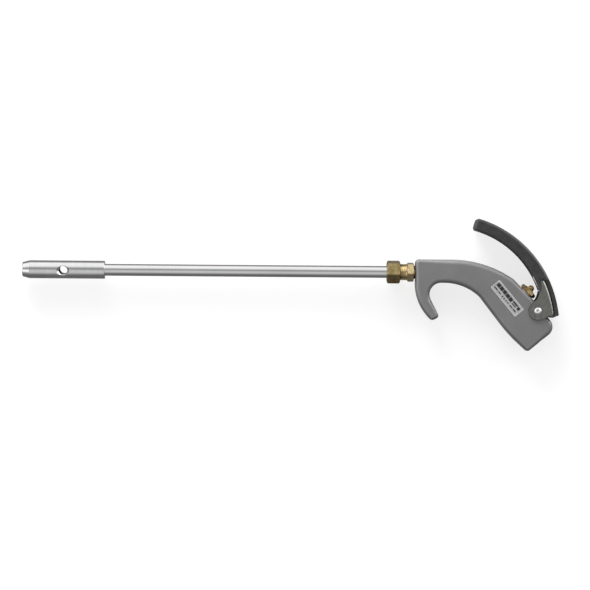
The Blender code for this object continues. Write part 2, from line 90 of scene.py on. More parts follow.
# Handle: corners of the side outline, (x, z, radius of the corner, rounding of its edges)
HANDLE_CORNERS = [
    (-0.3, 13.7, 4.0, 3.6),  # top front
    (72.0, 13.7, 115.0, 5.5),  # back of the hand
    (104.2, -6.4, 15.0, 5.5),  # start of the valve's seat face
    (124.5, -27.4, 25.0, 5.0),
    (150.9, -58.4, 11.0, 4.5),  # heel
    (119.7, -84.0, 3.6, 3.2),  # toe of the grip
    (99.4, -65.4, 160.0, 4.5),
    (68.5, -25.4, 25.0, 5.5),
    (51.3, -11.1, 55.0, 5.5),  # finger bow
    (7.3, -11.1, 12.4, 4.5),  # inside of the hook
    (25.9, -47.4, 3.5, 3.0),  # hook tip
    (17.6, -51.6, 3.6, 3.0),
    (-0.3, -32.6, 53.3, 4.5),  # front of the hook
]
HANDLE_HALF = 10.0
HANDLE_EDGE_DEPTH = 5.2  # how far the rounding of its edges reaches from each face
HANDLE_EDGE_STEPS = 9
HEEL = Vector(HANDLE_CORNERS[4][:2])
TOE = Vector(HANDLE_CORNERS[5][:2])
HEEL_TO_INLET = 22.6
INLET = HEEL + (TOE - HEEL).normalized() * HEEL_TO_INLET
INLET_TILT = 90.0 + math.degrees(math.atan2(HEEL.y - TOE.y, HEEL.x - TOE.x))

# Barrel side, as depths along the barrel from the handle's front
TUBE_RADIUS = 6.35
TUBE_BORE = 5.1  # bores are radii too
TUBE_START = 12.3
TUBE_END = 344.6
TIP_RADIUS = 9.62
TIP_START = 330.9
TIP_END = 418.5
TIP_BORE = 6.3
CROSS_HOLE_AT = 374.7
CROSS_HOLE_RADIUS = 4.7
CROSS_HOLE_SINK = 6.6  # radius of its countersinks at the tip's surface
TIP_ROLL = 8.0  # how far the cross hole is turned about the barrel
TIP_YAW = 1.0  # and sideways
HEX_ACROSS = 18.8
HEX_TURN = 18.5
NUT_ACROSS = 22.2
NUT_TURN = 15.5

# Valve, in its own axes with Z along the stem and out of the handle
BONNET_ACROSS = 16.8
BONNET_TURN = 8.0
CHAMBER_BOTTOM = -31.2
POPPET_BOTTOM = -17.3
BUTTON_RADIUS = 3.4
BUTTON_CENTRE = 6.9

# Lever: radii about the centres of its two curves, and angles in degrees about the outer one
OUTER_CENTRE = Vector((33.3, -57.5))
INNER_CENTRE = Vector((37.4, -51.6))
GRIP_OUTER = 119.6
GRIP_INNER = 100.0
GRIP_HALF = 14.0
GRIP_EDGE = 115.3  # inner side of the strip below the notch
GRIP_FOOT = 6.3
GRIP_TIP = 74.9
GRIP_END = 1.6  # angle over which its tip rounds off
GRIP_ROUNDS = (3.4, 1.8)  # corner radii of its section, outside and inside
STRIP_HALF = 10.4
NOTCH = 25.6
ARM_OUTER = 115.0
ARM_INNER = 101.8
ARM_HALF = 12.1
ARM_BEND = 3.7
ARM_FOOT = 6.6
ARM_TIP = 73.0
LOBE_RADIUS = 10.0
LOBE_BEVEL = 0.6
STEEL = 1.6
GAP = 0.3
RIVET_RADIUS = 2.5

# Data plate
PLATE_CENTRE = Vector((97.4, -27.0))
PLATE_TILT = -50.2
PLATE_SIZE = (41.0, 12.5)
PLATE_THICKNESS = 0.5
RIM_WIDTH = 0.75
RIM_RISE = 0.14
MARK_RISE = 0.1

# Studio
LIGHT_SIZE = 1.2
LIGHT_DISTANCE = 1.7
WHITE = 1.05  # just over white, so that the background has no noise
FLOOR_DROP = 0.26  # metres below the gun, which keeps it out of the photograph's frame
SHEET_BEHIND = 0.0165  # metres behind the middle of the gun


def turned(degrees, axis):
    return Matrix.Rotation(math.radians(degrees), 4, axis)


def placed(x, z, tilt=0.0):
    """Axes at a point of the gun, their Z leaning from +Z towards +X by tilt degrees."""
    origin = Matrix.Translation(GUN + Vector((x, 0.0, z)) * MM)
    return origin @ turned(tilt, "Y")


BODY = placed(0, 0)
BARREL = placed(0, 0, -90)
VALVE_AXES = placed(*VALVE, VALVE_TILT)
INLET_AXES = placed(*INLET, INLET_TILT)
RIVET_AXES = placed(PIVOT.x, PIVOT.z) @ turned(90, "X")
CROSS_AXES = placed(-CROSS_HOLE_AT, 0) @ (turned(-TIP_YAW, "Z") @ turned(90 + TIP_ROLL, "X"))


# ---------------------------------------------------------------- outlines


def arc(centre, radius, start, end, error=FINE):
    """Points (x, z) along an arc from one angle to another, in degrees."""
    step = math.degrees(2 * math.acos(1 - error / radius))
    count = max(1, math.ceil(abs(end - start) / step))
    angles = [math.radians(start + (end - start) * i / count) for i in range(count + 1)]
    return [(centre[0] + radius * math.cos(a), centre[1] + radius * math.sin(a)) for a in angles]


def rounded(corners, share=0.0):
    """The outline of clockwise corners (x, z, radius, rounding), moved in by share * rounding."""
    points = []
    for i, (x, z, radius, rounding) in enumerate(corners):
        corner = Vector((x, z))
        back = (Vector(corners[i - 1][:2]) - corner).normalized()
        ahead = (Vector(corners[(i + 1) % len(corners)][:2]) - corner).normalized()
        half = back.angle(ahead) / 2
        centre = corner + (back + ahead).normalized() * radius / math.sin(half)
        first = corner + back * radius / math.tan(half) - centre
        start = math.degrees(math.atan2(first.y, first.x))
        side = 1 if back.cross(ahead) < 0 else -1
        step = math.degrees(2 * math.acos(1 - FINE / radius))
        sweep = 180 - 2 * math.degrees(half)
        count = max(4, math.ceil(sweep / step))
        kept = radius + side * share * rounding
        for k in range(count + 1):
            angle = math.radians(start + side * sweep * k / count)
            points.append((centre.x + kept * math.cos(angle), centre.y + kept * math.sin(angle)))
    return points


def filleted(points, radius, closed=True, steps=4):
    """The polyline with its corners rounded, by less where a side is short."""
    made = []
    for i, point in enumerate(points):
        corner = Vector(point)
        if not closed and i in (0, len(points) - 1):
            made.append(corner)
            continue
        back = Vector(points[i - 1]) - corner
        ahead = Vector(points[(i + 1) % len(points)]) - corner
        half = back.angle(ahead) / 2
        if half > math.radians(86):
            made.append(corner)
            continue
        reach = min(radius / math.tan(half), 0.45 * back.length, 0.45 * ahead.length)
        first = corner + back.normalized() * reach
        end = corner + ahead.normalized() * reach
        for k in range(steps + 1):
            t = k / steps
            made.append(first.lerp(corner, t).lerp(corner.lerp(end, t), t))
    return made


# ---------------------------------------------------------------- meshes


def solid(name, bm, place):
    """Turns a bmesh drawn in millimetres into an object at place."""
    bmesh.ops.remove_doubles(bm, verts=bm.verts, dist=1e-4)
    bmesh.ops.scale(bm, vec=(MM, MM, MM), verts=bm.verts)
    bmesh.ops.recalc_face_normals(bm, faces=bm.faces)
    mesh = bpy.data.meshes.new(name)
    bm.to_mesh(mesh)
    bm.free()
    made = bpy.data.objects.new(name, mesh)
    made.matrix_world = place
    bpy.context.scene.collection.objects.link(made)
    return made


def skinned(name, rings, place, closed=False):
    """A solid through rings of points; one point is a pole, and closed joins last to first."""
    bm = bmesh.new()
    made = [[bm.verts.new(point) for point in ring] for ring in rings]
    pairs = list(zip(made, made[1:]))
    if closed:
        pairs.append((made[-1], made[0]))
    else:
        for ring in (made[0], made[-1]):
            if len(ring) > 1:
                bm.faces.new(ring)
    for low, high in pairs:
        count = max(len(low), len(high))
        for i in range(count):
            if len(low) == len(high):
                bm.faces.new([low[i - 1], low[i], high[i], high[i - 1]])
            elif len(low) == 1:
                bm.faces.new([low[0], high[i], high[i - 1]])
            else:
                bm.faces.new([low[i - 1], low[i], high[0]])
    return solid(name, bm, place)


def slab(name, outline, far, near=None):
    """An outline (x, z) given width across Y, from near or -far to far."""
    low = -far if near is None else near
    return skinned(name, [[(x, y, z) for x, z in outline] for y in (low, far)], BODY)


def layered(name, half):
    """A solid through outlines [(depth, [(x, z), ...]), ...], the same on both sides."""
    layers = [(-depth, outline) for depth, outline in half] + half[::-1]
    return skinned(name, [[(x, y, z) for x, z in outline] for y, outline in layers], BODY)


def hexagon_radius(across, turn):
    """How far a hexagon reaches at an angle; turn is its first corner's angle in degrees."""

    def at(angle):
        beside = (math.degrees(angle) - turn) % 60 - 30
        return across / 2 / math.cos(math.radians(beside))

    return at


SIDE_STEPS = 14  # points along each side of a hexagon


def angles_of(turn):
    """Angles once round, spaced evenly along the sides of a hexagon with a corner at turn."""
    found = []
    for side in range(6):
        for i in range(SIDE_STEPS):
            along = (2 * i / SIDE_STEPS - 1) * math.tan(math.radians(30))
            found.append(math.radians(turn + 60 * side + 30) + math.atan(along))
    return found


def spun(name, rings, place, closed=True, turn=0.0):
    """A solid through rings about Z, (radius, height); a radius may be a function of the angle."""
    angles = angles_of(turn)
    made = []
    for radius, height in rings:
        if radius == 0:
            made.append([(0.0, 0.0, height)])
            continue
        reach = radius if callable(radius) else lambda angle, r=radius: r
        made.append([(reach(a) * math.cos(a), reach(a) * math.sin(a), height) for a in angles])
    return skinned(name, made, place, closed)


def hexed(across, turn, low, high, end_radius):
    """Rings of a hexagonal collar whose corners are slightly blunt and chamfered at both ends."""
    blunt = 0.12
    slope = 0.55
    levels = 7
    reach = hexagon_radius(across, turn)
    corner = across / math.sqrt(3) - blunt
    depth = (corner - end_radius) * slope

    def ring(limit):
        return lambda angle: min(reach(angle), limit)

    shares = [i / levels for i in range(levels + 1)]
    rings = [ring(end_radius + (corner - end_radius) * share) for share in shares]
    first = [(limited, low + depth * share) for limited, share in zip(rings, shares)]
    last = [(limited, high - depth * share) for limited, share in zip(rings, shares)]
    return first + last[::-1]


def threaded(crest, depth, pitch, low, high, per_turn=8):
    """Rings of a screw thread along +Z, shallower at both ends."""
    count = round((high - low) / pitch * per_turn)
    rings = []
    for i in range(count + 1):
        height = low + (high - low) * i / count
        fade = min(1.0, (height - low) / pitch, (high - height) / pitch)

        def reach(angle, height=height, fade=fade):
            turn = (height / pitch - angle / math.tau) % 1.0
            wave = min(max(2.4 * abs(turn - 0.5) - 0.1, 0.0), 1.0)
            return crest - depth * fade * wave

        rings.append((reach, height))
    return rings


def applied(target):
    """Makes the modifiers of target part of its mesh."""
    bpy.context.view_layer.update()
    graph = bpy.context.evaluated_depsgraph_get()
    mesh = bpy.data.meshes.new_from_object(target.evaluated_get(graph))
    target.modifiers.clear()
    target.data = mesh
    return target


def combine(target, operation, *others):
    """Joins the others to target or cuts them out of it, and removes them."""
    for other in others:
        modifier = target.modifiers.new(other.name, "BOOLEAN")
        modifier.operation = operation
        modifier.object = other
    applied(target)
    for other in others:
        bpy.data.objects.remove(other)
    return target


def bevelled(target, width, segments=2):
    """Bevels the edges that turn by more than 40 degrees."""
    modifier = target.modifiers.new("edges", "BEVEL")
    modifier.width = width * MM
    modifier.segments = segments
    modifier.limit_method = "ANGLE"
    modifier.angle_limit = math.radians(40)
    return applied(target)


def shown(target, body, slot, surface, *nodes):
    """Finishes a piece: its shading, material, body and the nodes that it stands for; slot is not
    used.
    """
    target.data.materials.clear()
    target.data.materials.append(surface)
    target.data.shade_smooth()
    target.data.set_sharp_from_angle(angle=math.radians(38))
    weighted = target.modifiers.new("normals", "WEIGHTED_NORMAL")
    weighted.keep_sharp = True
    applied(target)
    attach(target, body)
    if nodes:
        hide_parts(*nodes)
    return target


# ---------------------------------------------------------------- materials


class Surface:
    """A material with short ways to add procedural nodes to its shader."""

    def __init__(self, name, roughness, metallic=0.0, **constants):
        self.material = bpy.data.materials.new(name)
        self.material.use_nodes = True
        self.tree = self.material.node_tree
        self.shader = self.tree.nodes["Principled BSDF"]
        self.shader.inputs["Roughness"].default_value = roughness
        self.shader.inputs["Metallic"].default_value = metallic
        for socket, value in constants.items():
            self.shader.inputs[socket.replace("_", " ")].default_value = value
        self.places = self.node("ShaderNodeTexCoord").outputs["Object"]
        self.bumped = None

    def node(self, kind, **settings):
        made = self.tree.nodes.new(kind)
        for name, value in settings.items():
            setattr(made, name, value)
        return made

    def link(self, start, end):
        self.tree.links.new(start, end)

    def noise(self, size_mm, detail=4.0, roughness=0.55, stretch=None):
        """Noise whose features are about size_mm across."""
        made = self.node("ShaderNodeTexNoise")
        made.inputs["Scale"].default_value = 1000.0 / size_mm
        made.inputs["Detail"].default_value = detail
        made.inputs["Roughness"].default_value = roughness
        source = self.places
        if stretch:
            mapping = self.node("ShaderNodeMapping")
            mapping.inputs["Scale"].default_value = stretch
            self.link(source, mapping.inputs["Vector"])
            source = mapping.outputs["Vector"]
        self.link(source, made.inputs["Vector"])
        return made.outputs["Fac"]

    def ramp(self, value, stops):
        """Colours at stops [(position, colour), ...], read at value."""
        made = self.node("ShaderNodeValToRGB")
        elements = made.color_ramp.elements
        while len(elements) < len(stops):
            elements.new(0.5)
        for element, (position, colour) in zip(elements, stops):
            element.position = position
            element.color = (*colour, 1.0)
        self.link(value, made.inputs["Fac"])
        return made.outputs["Color"]

    def colour(self, tone, speckle=None):
        """Takes the tone as the base colour, multiplied by the speckle."""
        if speckle:
            made = self.node("ShaderNodeMix", data_type="RGBA", blend_type="MULTIPLY")
            made.inputs["Factor"].default_value = 1.0
            self.link(tone, made.inputs[6])
            self.link(speckle, made.inputs[7])
            tone = made.outputs[2]
        self.link(tone, self.shader.inputs["Base Color"])

    def roughness(self, value, low, high):
        """Spreads the roughness from low to high with the noise."""
        made = self.node("ShaderNodeMapRange")
        made.inputs["From Min"].default_value = 0.3
        made.inputs["From Max"].default_value = 0.7
        made.inputs["To Min"].default_value = low
        made.inputs["To Max"].default_value = high
        self.link(value, made.inputs["Value"])
        self.link(made.outputs["Result"], self.shader.inputs["Roughness"])

    def bump(self, value, height_mm):
        """Adds relief; several calls add up."""
        made = self.node("ShaderNodeBump")
        made.inputs["Distance"].default_value = height_mm * MM
        made.inputs["Strength"].default_value = 1.0
        self.link(value, made.inputs["Height"])
        if self.bumped:
            self.link(self.bumped, made.inputs["Normal"])
        self.bumped = made.outputs["Normal"]
        self.link(self.bumped, self.shader.inputs["Normal"])


def grey(value):
    return (value, value, value)


def painted_surface():
    """Grey enamel over a cast skin: fine orange peel, slow waviness and faint mottling."""
    made = Surface("grey_enamel", 0.34, 0.35, Specular_IOR_Level=0.6)
    slow = made.noise(26, 3)
    fine = made.noise(0.9, 5)
    tone = made.ramp(slow, [(0.3, (0.192, 0.192, 0.193)), (0.7, (0.218, 0.218, 0.219))])
    speckle = made.ramp(fine, [(0.35, grey(0.9)), (0.65, grey(1.06))])
    made.colour(tone, speckle)
    made.roughness(made.noise(5, 4), 0.3, 0.38)
    made.bump(made.noise(9, 2), 0.05)
    made.bump(made.noise(1.6, 3), 0.012)
    made.bump(fine, 0.005)
    return made.material


def tube_surface():
    """Drawn steel tube: long fine lines along the bore's axis."""
    made = Surface("satin_tube", 0.16, 1.0, Anisotropic=0.3)
    lines = made.noise(0.45, 3, stretch=(1, 1, 0.012))
    patches = made.noise(30, 3, stretch=(1, 1, 0.3))
    tone = made.ramp(patches, [(0.3, (0.74, 0.74, 0.745)), (0.7, (0.82, 0.82, 0.822))])
    streak = made.ramp(lines, [(0.3, grey(0.93)), (0.7, grey(1.0))])
    made.colour(tone, streak)
    made.roughness(lines, 0.13, 0.2)
    made.bump(lines, 0.002)
    return made.material


def turned_surface():
    """Turned nickel-plated tip: fine rings round its axis."""
    made = Surface("turned_tip", 0.13, 1.0)
    rings = made.noise(0.5, 3, stretch=(0.03, 0.03, 1))
    patches = made.noise(16, 3)
    tone = made.ramp(patches, [(0.3, (0.73, 0.73, 0.733)), (0.7, (0.80, 0.80, 0.803))])
    streak = made.ramp(rings, [(0.3, grey(0.92)), (0.7, grey(1.0))])
    made.colour(tone, streak)
    made.roughness(rings, 0.1, 0.17)
    made.bump(rings, 0.0015)
    return made.material


def brass_surface(name, bright, dull):
    """Machined brass with tool rings and patches of brown tarnish."""
    made = Surface(name, 0.3, 1.0)
    patches = made.noise(5, 5, 0.6)
    fine = made.noise(0.5, 3, stretch=(0.06, 0.06, 1))
    tone = made.ramp(patches, [(0.35, dull), (0.62, bright)])
    streak = made.ramp(fine, [(0.3, grey(0.88)), (0.7, grey(1.0))])
    made.colour(tone, streak)
    made.roughness(patches, 0.28, 0.16)
    made.bump(fine, 0.005)
    return made.material


def vinyl_surface():
    """Dipped black vinyl: satin, softly pebbled, with dull rubbed patches."""
    made = Surface("black_vinyl", 0.4, Specular_IOR_Level=0.66)
    rubbed = made.noise(5, 4)
    pebble = made.noise(0.8, 3)
    tone = made.ramp(rubbed, [(0.3, (0.019, 0.019, 0.0195)), (0.7, (0.031, 0.031, 0.0315))])
    speckle = made.ramp(pebble, [(0.35, grey(0.8)), (0.65, grey(1.1))])
    made.colour(tone, speckle)
    made.roughness(rubbed, 0.30, 0.46)
    made.bump(made.noise(4, 2), 0.06)
    made.bump(pebble, 0.035)
    return made.material


def plated_surface():
    """Zinc-plated lever steel with an olive cast, rolled grain and small stains."""
    made = Surface("plated_steel", 0.3, 1.0)
    grain = made.noise(0.6, 4, stretch=(1, 1, 0.25))
    stains = made.noise(4, 5, 0.65)
    tone = made.ramp(stains, [(0.3, (0.242, 0.242, 0.222)), (0.7, (0.332, 0.332, 0.315))])
    streak = made.ramp(grain, [(0.3, grey(0.85)), (0.7, grey(1.05))])
    made.colour(tone, streak)
    made.roughness(stains, 0.24, 0.36)
    made.bump(grain, 0.004)
    return made.material


def bright_surface():
    """Bright rivet and spring steel with small scuffs."""
    made = Surface("bright_steel", 0.22, 1.0)
    scuffs = made.noise(1.2, 5, 0.6)
    made.colour(made.ramp(scuffs, [(0.3, (0.62, 0.62, 0.60)), (0.7, (0.80, 0.80, 0.78))]))
    made.roughness(scuffs, 0.16, 0.3)
    made.bump(made.noise(0.5, 2), 0.006)
    return made.material


def plain_surface(name, dark, light, roughness, grain_mm):
    """A matt moulded or printed surface, mottled between two colours."""
    made = Surface(name, roughness)
    grain = made.noise(grain_mm, 4)
    made.colour(made.ramp(grain, [(0.3, dark), (0.7, light)]))
    made.roughness(grain, roughness - 0.06, roughness + 0.06)
    made.bump(grain, 0.01)
    return made.material


PAINT = painted_surface()
TUBE = tube_surface()
TURNED = turned_surface()
BRASS = brass_surface("fitting_brass", (0.80, 0.65, 0.38), (0.58, 0.44, 0.21))
NUT_BRASS = brass_surface("nut_brass", (0.50, 0.39, 0.19), (0.30, 0.23, 0.10))
DARK_BRASS = brass_surface("valve_brass", (0.76, 0.57, 0.29), (0.44, 0.29, 0.12))
VINYL = vinyl_surface()
PLATED = plated_surface()
BRIGHT = bright_surface()
RUBBER = plain_surface("black_rubber", grey(0.014), grey(0.024), 0.65, 1.0)
FIBRE = plain_surface("washer_fibre", (0.30, 0.20, 0.16), (0.42, 0.31, 0.26), 0.75, 0.6)
NYLON = plain_surface("nylon", (0.62, 0.60, 0.52), (0.74, 0.72, 0.64), 0.45, 2.0)
PLATE = plain_surface("plate_grey", grey(0.32), grey(0.40), 0.45, 3.0)
PLATE_LIGHT = plain_surface("plate_light", grey(0.46), grey(0.54), 0.4, 1.0)
PLATE_DARK = plain_surface("plate_dark", grey(0.012), grey(0.02), 0.5, 1.0)


# ---------------------------------------------------------------- handle


def build_casting():
    """The cast handle: a rounded slab with its ports, valve seat, pivot hole and plate recess."""
    layers = []
    for i in range(HANDLE_EDGE_STEPS + 1):
        angle = math.radians(90 * (1 - i / HANDLE_EDGE_STEPS))
        depth = HANDLE_HALF - HANDLE_EDGE_DEPTH * (1 - math.sin(angle))
        layers.append((depth, rounded(HANDLE_CORNERS, 1 - math.cos(angle))))
    casting = layered("casting", layers)
    boss = [(0, -9.0), (9.3, -9.0), (9.3, -0.8), (9.0, -0.5), (0, -0.5)]
    combine(casting, "UNION", spun("boss", boss, VALVE_AXES, False))
    inlet = [(0, -46.0), (3.4, -46.0), (3.4, -14.0), (5.7, -14.0)]
    inlet += threaded(6.75, 0.85, 1.41, -14.0, -0.6)
    inlet += [(6.9, -0.5), (7.5, 0.3), (7.5, 2.0), (0, 2.0)]
    chamber = [(0, CHAMBER_BOTTOM), (6.2, CHAMBER_BOTTOM), (6.2, -13.4), (6.9, -13.0), (6.9, -0.5)]
    chamber += [(8.6, -0.5), (8.6, 3.0), (0, 3.0)]
    port = [(0, -60.0), (3.2, -60.0), (3.2, -10.5), (7.0, -10.5), (7.0, 0.0), (7.6, 0.6)]
    port += [(7.6, 2.0), (0, 2.0)]
    recess = (HANDLE_HALF - PLATE_THICKNESS - GAP, HANDLE_HALF + 1)
    cutters = [
        spun("inlet_cut", inlet, INLET_AXES, False),
        spun("chamber_cut", chamber, VALVE_AXES, False),
        spun("port_cut", port, BARREL, False),
        rivet_bore("pivot_cut"),
        plate_shape("recess_cut", GAP, *recess),
    ]
    combine(casting, "DIFFERENCE", *cutters)
    return shown(casting, "handle", "grey_paint", PAINT, "handle_casting")


def rivet_bore(name):
    """Cuts the rivet's hole, with its gap."""
    radius = RIVET_RADIUS + GAP
    return spun(name, [(0, -20.0), (radius, -20.0), (radius, 20.0), (0, 20.0)], RIVET_AXES, False)


def plate_shape(name, margin, near, far, radius=1.2, size=PLATE_SIZE, centre=(0.0, 0.0)):
    """A rectangle in the data plate's own axes, between two depths on the -Y side."""
    tilt = math.radians(PLATE_TILT)
    along = Vector((math.cos(tilt), math.sin(tilt)))
    across = Vector((-along.y, along.x))
    middle = PLATE_CENTRE + along * centre[0] + across * centre[1]
    signs = [(-1, 1), (1, 1), (1, -1), (-1, -1)]
    halves = (size[0] / 2 + margin, size[1] / 2 + margin)
    places = [middle + along * halves[0] * a + across * halves[1] * b for a, b in signs]
    outline = rounded([(p.x, p.y, radius + margin, 0.0) for p in places])
    return skinned(name, [[(x, y, z) for x, z in outline] for y in (-far, -near)], BODY)


def joined(name, objects):
    """Several solids made one object."""
    bm = bmesh.new()
    for item in objects:
        bm.from_mesh(item.data)
        bpy.data.objects.remove(item)
    mesh = bpy.data.meshes.new(name)
    bm.to_mesh(mesh)
    bm.free()
    made = bpy.data.objects.new(name, mesh)
    made.matrix_world = BODY
    bpy.context.scene.collection.objects.link(made)
    return made


def build_plate():
    """A plain data plate: light rim, a row of dark blocks with bars, and a row of fine marks."""
    face = HANDLE_HALF
    plate = plate_shape("plate", 0.0, face - PLATE_THICKNESS, face)
    shown(plate, "handle", "label", PLATE, "data_plate")
    rim = plate_shape("plate_rim", 0.0, face - 0.1, face + RIM_RISE)
    inside = plate_shape("rim_cut", -RIM_WIDTH, face - 1.0, face + 1.0, 1.6)
    combine(rim, "DIFFERENCE", inside)
    shown(rim, "handle", "label", PLATE_LIGHT)
    marks = [(-16.2 + 4.9 * i, 2.1, 4.4, 4.0) for i in range(5)]  # (along, across, length, height)
    marks += [(10.2, 3.0, 7.4, 1.8), (10.2, 0.6, 6.0, 1.2), (16.2, 2.0, 3.0, 3.4)]
    marks += [(-15.6, -2.6, 5.4, 1.1), (-9.6, -2.6, 4.2, 1.1)]
    marks += [(-4.8 + 3.0 * i, -2.7, 1.5, 1.5) for i in range(4)]
    marks += [(9.5, -2.6, 4.6, 1.1), (15.0, -2.6, 4.2, 1.3)]
    blocks = []
    for i, (*centre, length, height) in enumerate(marks):
        levels = (face - 0.1, face + MARK_RISE)
        blocks.append(plate_shape(f"mark_{i}", 0.0, *levels, 0.3, (length, height), centre))
    shown(joined("plate_marks", blocks), "handle", "label", PLATE_DARK)


def build_connector():
    """Brass connector: pipe thread, hexagon and the thread that takes the compression nut."""
    rings = [(4.6, -9.5), (6.0, -9.5)]
    rings += threaded(6.65, 0.45, 1.41, -9.3, -0.2)
    rings += [(6.4, 0.0), (6.9, 0.9), (7.3, 1.8), (9.0, 1.8)]
    rings += hexed(HEX_ACROSS, HEX_TURN, 1.85, 8.75, 9.1)
    rings += [(9.0, 8.8), (8.5, 8.8), (8.3, 9.2)]
    rings += threaded(8.75, 0.4, 1.27, 9.3, 24.6, 10)
    rings += [(8.0, 24.7), (7.9, 25.4), (7.5, 25.5)]
    rings += [(6.65, 23.5), (6.65, 12.0), (4.6, 12.0)]  # socket for the tube
    piece = spun("connector", rings, BARREL, True, HEX_TURN)
    return shown(piece, "handle", "brass", BRASS, "connector_body")


def build_nut():
    """Compression nut, its cone over the ferrule."""
    rings = [(9.05, 26.0), (9.05, 16.9), (9.6, 16.3), (10.4, 16.3)]
    rings += hexed(NUT_ACROSS, NUT_TURN, 16.35, 30.3, 10.7)
    rings += [(10.5, 30.4), (9.6, 30.6), (7.1, 30.6), (6.65, 30.2), (6.65, 29.4), (8.6, 26.5)]
    piece = spun("nut", rings, BARREL, True, NUT_TURN)
    return shown(piece, "handle", "brass", NUT_BRASS, "compression_nut")


def build_tube():
    """Plain straight extension tube."""
    profile = [(TUBE_BORE, TUBE_START), (TUBE_RADIUS, TUBE_START)]
    profile += [(TUBE_RADIUS, TUBE_END), (TUBE_BORE, TUBE_END)]
    piece = spun("tube", filleted(profile, 0.3), BARREL)
    return shown(piece, "handle", "satin_steel", TUBE, "extension_tube")


def build_tip():
    """Safety tip: sleeve over the tube, cross hole with countersunk ends, tapered mouth."""
    profile = [
        (TUBE_RADIUS + 0.15, TIP_START),
        (TIP_RADIUS - 0.2, TIP_START),
        (TIP_RADIUS, TIP_START + 0.2),
        (TIP_RADIUS, TIP_END - 7.5),
        (7.9, TIP_END - 0.6),
        (7.3, TIP_END),
        (TIP_BORE + 0.4, TIP_END),
        (TIP_BORE, TIP_END - 0.5),
        (TIP_BORE, 353.0),
        (4.3, 352.4),
        (4.3, 345.0),
        (TUBE_RADIUS + 0.15, 345.0),
    ]
    tip = spun("tip", filleted(profile, 0.25, steps=3), BARREL)
    sink = CROSS_HOLE_SINK - CROSS_HOLE_RADIUS
    hole = [
        (0, -TIP_RADIUS - 2),
        (CROSS_HOLE_SINK + 2, -TIP_RADIUS - 2),
        (CROSS_HOLE_RADIUS, -TIP_RADIUS + sink),
        (CROSS_HOLE_RADIUS, TIP_RADIUS - sink),
        (CROSS_HOLE_SINK + 2, TIP_RADIUS + 2),
        (0, TIP_RADIUS + 2),
    ]
    combine(tip, "DIFFERENCE", spun("cross_cut", hole, CROSS_AXES, False))
    return shown(tip, "handle", "satin_steel", TURNED, "nozzle_tip")


# ---------------------------------------------------------------- valve


def build_bonnet():
    """Bonnet with its poppet seat, seal groove, thread and hexagon; gland nut in its mouth."""
    rings = [(4.3, -13.0), (5.9, -13.0), (6.6, -12.4), (6.6, -12.1)]
    rings += [(5.25, -12.1), (5.25, -10.6), (6.6, -10.6)]  # groove of the seal
    rings += [(6.6, -9.6), (5.4, -9.0), (5.4, -4.2)]
    rings += threaded(6.6, 0.6, 1.27, -4.1, 0.2)
    rings += [(6.5, 0.4), (7.4, 0.6)]
    rings += hexed(BONNET_ACROSS, BONNET_TURN, 0.62, 4.85, 8.0)
    rings += [(7.4, 4.9), (5.3, 4.9), (4.6, 4.6)]
    rings += [(4.6, -1.5), (2.3, -1.5), (2.3, -3.0), (4.3, -3.6)]  # bore, narrow at the stem
    piece = spun("bonnet", rings, VALVE_AXES, True, BONNET_TURN)
    shown(piece, "handle", "brass", DARK_BRASS, "valve_bonnet")
    profile = [(3.5, 0.8), (4.3, 0.8), (4.3, 5.1), (4.9, 5.1), (4.9, 5.6), (4.6, 5.8), (3.5, 5.8)]
    gland = spun("gland", filleted(profile, 0.15, steps=2), VALVE_AXES)
    shown(gland, "handle", "brass", DARK_BRASS, "gland_nut")


def build_button():
    """The button that the lever pushes: a ball on a short collar."""
    rings = [(0, 7.9), (1.8, 7.9), (1.8, 5.4), (2.9, 5.4)]
    for degrees in range(-24, 85, 6):
        a = math.radians(degrees)
        rings.append((BUTTON_RADIUS * math.cos(a), BUTTON_CENTRE + BUTTON_RADIUS * math.sin(a)))
    rings.append((0, BUTTON_CENTRE + BUTTON_RADIUS))
    piece = spun("button", rings, VALVE_AXES, False)
    return shown(piece, "valve_stem", "brass", DARK_BRASS, "stem_button")


def build_spring():
    """Coil spring under the poppet, with closed end turns."""
    wire = 0.45
    radius = 4.6
    bottom = CHAMBER_BOTTOM + GAP + wire
    top = POPPET_BOTTOM - GAP - wire
    turns = 6
    end_pitch = 1.2
    sides = [math.tau * k / 10 for k in range(10)]
    section = [(wire * math.cos(a), wire * math.sin(a)) for a in sides]
    rings = []
    count = turns * 28
    for i in range(count + 1):
        t = i * turns / count
        share = min(max((t - 1) / (turns - 2), 0), 1)
        ends = min(t, 1) + max(t - (turns - 1), 0)
        height = bottom + end_pitch * ends + (top - bottom - 2 * end_pitch) * share
        out = Vector((math.cos(math.tau * t), math.sin(math.tau * t), 0.0))
        ring = [out * (radius + across) + Vector((0, 0, height + up)) for across, up in section]
        rings.append(ring)
    piece = skinned("spring", rings, VALVE_AXES)
    shown(piece, "handle", "bright_steel", BRIGHT, "valve_spring")
    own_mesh(piece)


# ---------------------------------------------------------------- lever


def inner_reach(angle, radius):
    """How far from the outer centre a circle about the inner centre lies, at an angle."""
    toward = Vector((math.cos(math.radians(angle)), math.sin(math.radians(angle))))
    offset = OUTER_CENTRE - INNER_CENTRE
    along = offset.dot(toward)
    return -along + math.sqrt(along * along - offset.length_squared + radius * radius)


